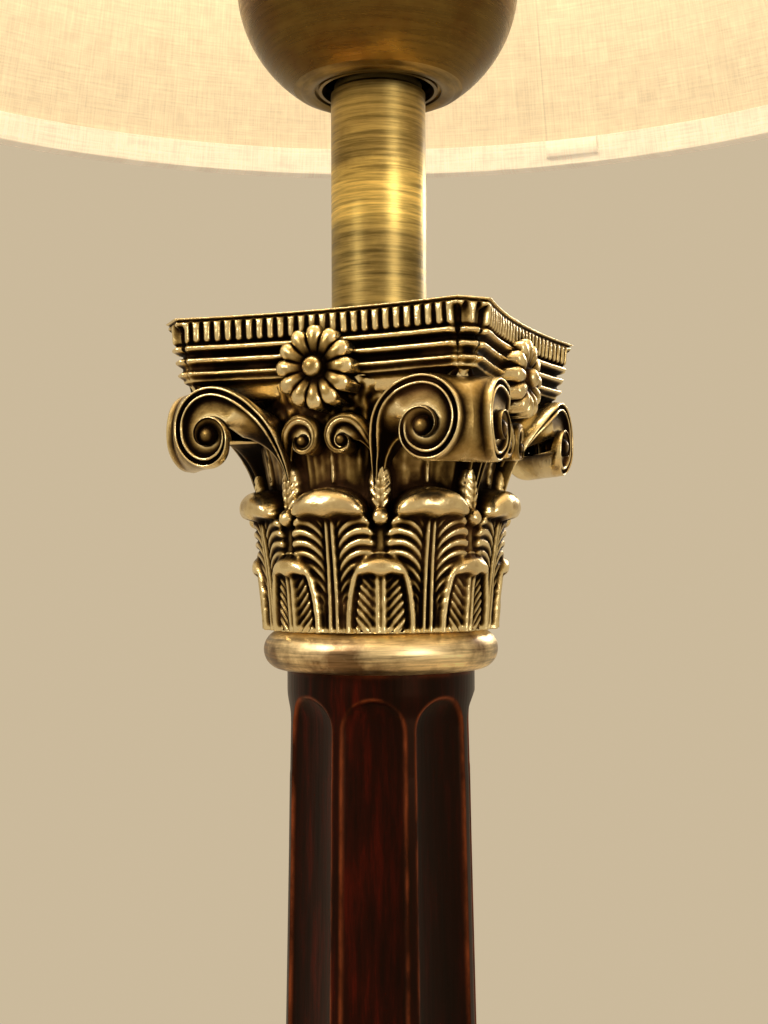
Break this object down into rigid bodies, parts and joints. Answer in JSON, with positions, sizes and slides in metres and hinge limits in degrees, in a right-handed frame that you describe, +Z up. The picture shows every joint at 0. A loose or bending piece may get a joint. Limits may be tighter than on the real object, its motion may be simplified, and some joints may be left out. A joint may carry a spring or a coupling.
{
  "type": "table lamp",
  "caption": "Table lamp with a fluted column, cast Corinthian capital, brass neck and bowl, harp and round tapered fabric shade on a stepped square foot.",
  "frame": {"origin": "centre of the felt pad's underside, on the table", "axes": "+Z up along the column; -Y is the front, square to one face of the capital and of the foot; the cord outlet is at the back, +Y"},
  "size_m": [0.4508, 0.4508, 0.7958],
  "materials": {
    "felt": "short green felt",
    "mahogany": "dark red-brown mahogany under glossy lacquer",
    "cast_iron": "sand-cast, bare",
    "steel": "zinc-plated",
    "antique_brass": "antique brass, dark patina in the hollows, worn bright on the ridges",
    "tube_brass": "antique brass, brushed round with fine scratches",
    "bowl_brass": "antique brass, olive-brown and smooth",
    "socket_brass": "polished, lacquered",
    "card": "pressed insulating card",
    "phenolic": "black moulded",
    "threaded_aluminium": "rolled thread",
    "bulb_glass": "frosted warm white",
    "bulb_glow": "light-giving ring",
    "linen": "cream linen laminate, slubby weave",
    "linen_trim": "folded cream linen tape",
    "wire_steel": "cream-coated wire"
  },
  "bodies": {
    "root": {"felt_pad": "felt", "plinth_lower": "mahogany", "plinth_middle": "mahogany", "plinth_upper": "mahogany", "base_weight": "cast_iron", "rod_washer": "steel", "rod_nut": "steel", "tie_rod": "steel", "cord_bushing": "socket_brass", "attic_base": "antique_brass", "column_shaft": "mahogany", "astragal_ring": "antique_brass", "capital": "antique_brass", "abacus": "antique_brass", "neck_tube": "tube_brass", "riser": "tube_brass", "bowl": "bowl_brass", "bowl_collar": "bowl_brass", "bowl_cover": "bowl_brass", "harp_saddle": "steel", "socket_cap": "socket_brass", "socket_shell": "socket_brass", "socket_liner": "card", "socket_interior": "phenolic", "thread_shell": "threaded_aluminium", "centre_contact": "socket_brass", "terminal_screws": "socket_brass", "harp": "tube_brass", "bulb_base": "threaded_aluminium", "bulb_glass": "bulb_glass", "bulb_filament": "bulb_glow"},
    "shade": {"shade_cover": "linen", "shade_hem_bottom": "linen_trim", "shade_hem_top": "linen_trim", "shade_ring_bottom": "wire_steel", "shade_ring_top": "wire_steel", "shade_spider": "wire_steel"},
    "finial": {"finial": "antique_brass"},
    "switch": {"switch_spindle": "steel", "switch_knob": "phenolic"},
    "sleeve_left": {"harp_sleeve_left": "socket_brass"},
    "sleeve_right": {"harp_sleeve_right": "socket_brass"}
  },
  "joints": [
    {"name": "shade_turn", "type": "hinge", "parent": "root", "child": "shade", "pos_m": [0, 0, 0.7666], "axis": [0, 0, 1], "continuous": true},
    {"name": "finial_turn", "type": "hinge", "parent": "root", "child": "finial", "pos_m": [0, 0, 0.7686], "axis": [0, 0, 1], "continuous": true},
    {"name": "switch_turn", "type": "hinge", "parent": "root", "child": "switch", "pos_m": [0, -0.028, 0.5241], "axis": [0, -1, 0], "continuous": true},
    {"name": "sleeve_left_lift", "type": "slide", "parent": "root", "child": "sleeve_left", "axis": [0, 0, 1], "range_m": [0, 0.008]},
    {"name": "sleeve_right_lift", "type": "slide", "parent": "root", "child": "sleeve_right", "axis": [0, 0, 1], "range_m": [0, 0.008]}
  ]
}
